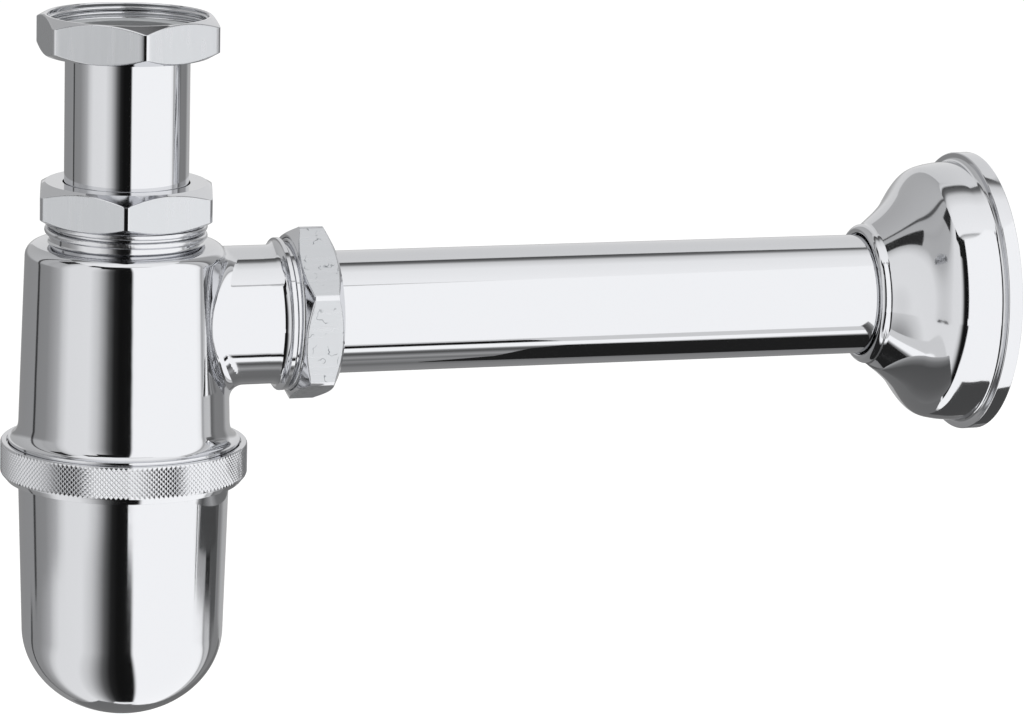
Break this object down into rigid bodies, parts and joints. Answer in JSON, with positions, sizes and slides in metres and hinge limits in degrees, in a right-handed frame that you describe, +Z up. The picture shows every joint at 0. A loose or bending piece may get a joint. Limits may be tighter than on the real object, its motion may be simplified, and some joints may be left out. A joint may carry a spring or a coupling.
{
  "type": "basin bottle trap",
  "caption": "Chrome-plated brass bottle trap: union nut and inlet tube, bottle with cleaning cup, side branch, outlet pipe and bell wall flange.",
  "frame": {"origin": "centre of the union nut's open mouth, on the axis of the inlet tube", "axes": "+Z up the inlet axis, +X along the outlet pipe to the wall, -Y towards the viewer of the picture"},
  "size_m": [0.266, 0.075, 0.1838],
  "materials": {
    "inlet_union_nut": "bright chrome plate on brass",
    "inlet_tube": "bright chrome plate on brass",
    "neck_nut": "bright chrome plate on brass",
    "trap_body": "bright chrome plate on brass",
    "bottle_cup": "bright chrome plate on brass",
    "outlet_nut": "bright chrome plate on brass",
    "outlet_pipe": "bright chrome plate on brass",
    "wall_flange": "bright chrome plate on brass",
    "inlet_washer": "matt moulded rubber",
    "neck_cone_seal": "matt moulded rubber",
    "outlet_cone_seal": "matt moulded rubber",
    "cup_seal": "matt moulded rubber",
    "flange_ring": "matt moulded rubber",
    "neck_slip_washer": "natural nylon",
    "outlet_slip_washer": "natural nylon"
  },
  "bodies": {
    "inlet_union_nut": {"inlet_union_nut": "inlet_union_nut"},
    "inlet_tube": {"inlet_tube": "inlet_tube"},
    "neck_nut": {"neck_nut": "neck_nut"},
    "trap_body": {"trap_body": "trap_body"},
    "bottle_cup": {"bottle_cup": "bottle_cup"},
    "outlet_nut": {"outlet_nut": "outlet_nut"},
    "outlet_pipe": {"outlet_pipe": "outlet_pipe"},
    "wall_flange": {"wall_flange": "wall_flange"},
    "inlet_washer": {"inlet_washer": "inlet_washer"},
    "neck_cone_seal": {"neck_cone_seal": "neck_cone_seal"},
    "outlet_cone_seal": {"outlet_cone_seal": "outlet_cone_seal"},
    "cup_seal": {"cup_seal": "cup_seal"},
    "flange_ring": {"flange_ring": "flange_ring"},
    "neck_slip_washer": {"neck_slip_washer": "neck_slip_washer"},
    "outlet_slip_washer": {"outlet_slip_washer": "outlet_slip_washer"}
  },
  "joints": [
    {"name": "union_drop", "type": "slide", "parent": "inlet_union_nut", "child": "inlet_washer", "axis": [0, 0, 1], "range_m": [0, 0.014]},
    {"name": "inlet_swivel", "type": "hinge", "parent": "inlet_washer", "child": "inlet_tube", "pos_m": [0, 0, 0], "axis": [0, 0, 1], "continuous": true},
    {"name": "height_slide", "type": "slide", "parent": "inlet_tube", "child": "neck_cone_seal", "axis": [0, 0, 1], "range_m": [-0.03, 0.013]},
    {"name": "body_swivel", "type": "hinge", "parent": "neck_cone_seal", "child": "trap_body", "pos_m": [0, 0, -0.06], "axis": [0, 0, 1], "continuous": true},
    {"name": "neck_nut_travel", "type": "slide", "parent": "trap_body", "child": "neck_slip_washer", "axis": [0, 0, 1], "range_m": [0, 0.00487]},
    {"name": "neck_nut_turn", "type": "hinge", "parent": "neck_slip_washer", "child": "neck_nut", "pos_m": [0, 0, -0.05], "axis": [0, 0, 1], "range_deg": [0, 756]},
    {"name": "cup_travel", "type": "slide", "parent": "trap_body", "child": "cup_seal", "axis": [0, 0, -1], "range_m": [0, 0.00579]},
    {"name": "cup_turn", "type": "hinge", "parent": "cup_seal", "child": "bottle_cup", "pos_m": [0, 0, -0.12], "axis": [0, 0, -1], "range_deg": [0, 900]},
    {"name": "outlet_nut_travel", "type": "slide", "parent": "trap_body", "child": "outlet_slip_washer", "axis": [1, 0, 0], "range_m": [0, 0.00487]},
    {"name": "outlet_nut_turn", "type": "hinge", "parent": "outlet_slip_washer", "child": "outlet_nut", "pos_m": [0.048, 0, -0.0793], "axis": [1, 0, 0], "range_deg": [0, 756]},
    {"name": "pipe_turn", "type": "hinge", "parent": "trap_body", "child": "outlet_cone_seal", "pos_m": [0.048, 0, -0.0793], "axis": [1, 0, 0], "continuous": true},
    {"name": "pipe_slide", "type": "slide", "parent": "outlet_cone_seal", "child": "outlet_pipe", "axis": [1, 0, 0], "range_m": [-0.008, 0.012]},
    {"name": "flange_slide", "type": "slide", "parent": "outlet_pipe", "child": "flange_ring", "axis": [1, 0, 0], "range_m": [-0.11, 0]},
    {"name": "flange_turn", "type": "hinge", "parent": "flange_ring", "child": "wall_flange", "pos_m": [0.22, 0, -0.0793], "axis": [1, 0, 0], "continuous": true}
  ],
  "couplings": [
    {"joint": "neck_nut_travel", "follows": "neck_nut_turn", "m_per_rad": 0.00036749},
    {"joint": "cup_travel", "follows": "cup_turn", "m_per_rad": 0.00036749},
    {"joint": "outlet_nut_travel", "follows": "outlet_nut_turn", "m_per_rad": 0.00036749}
  ]
}
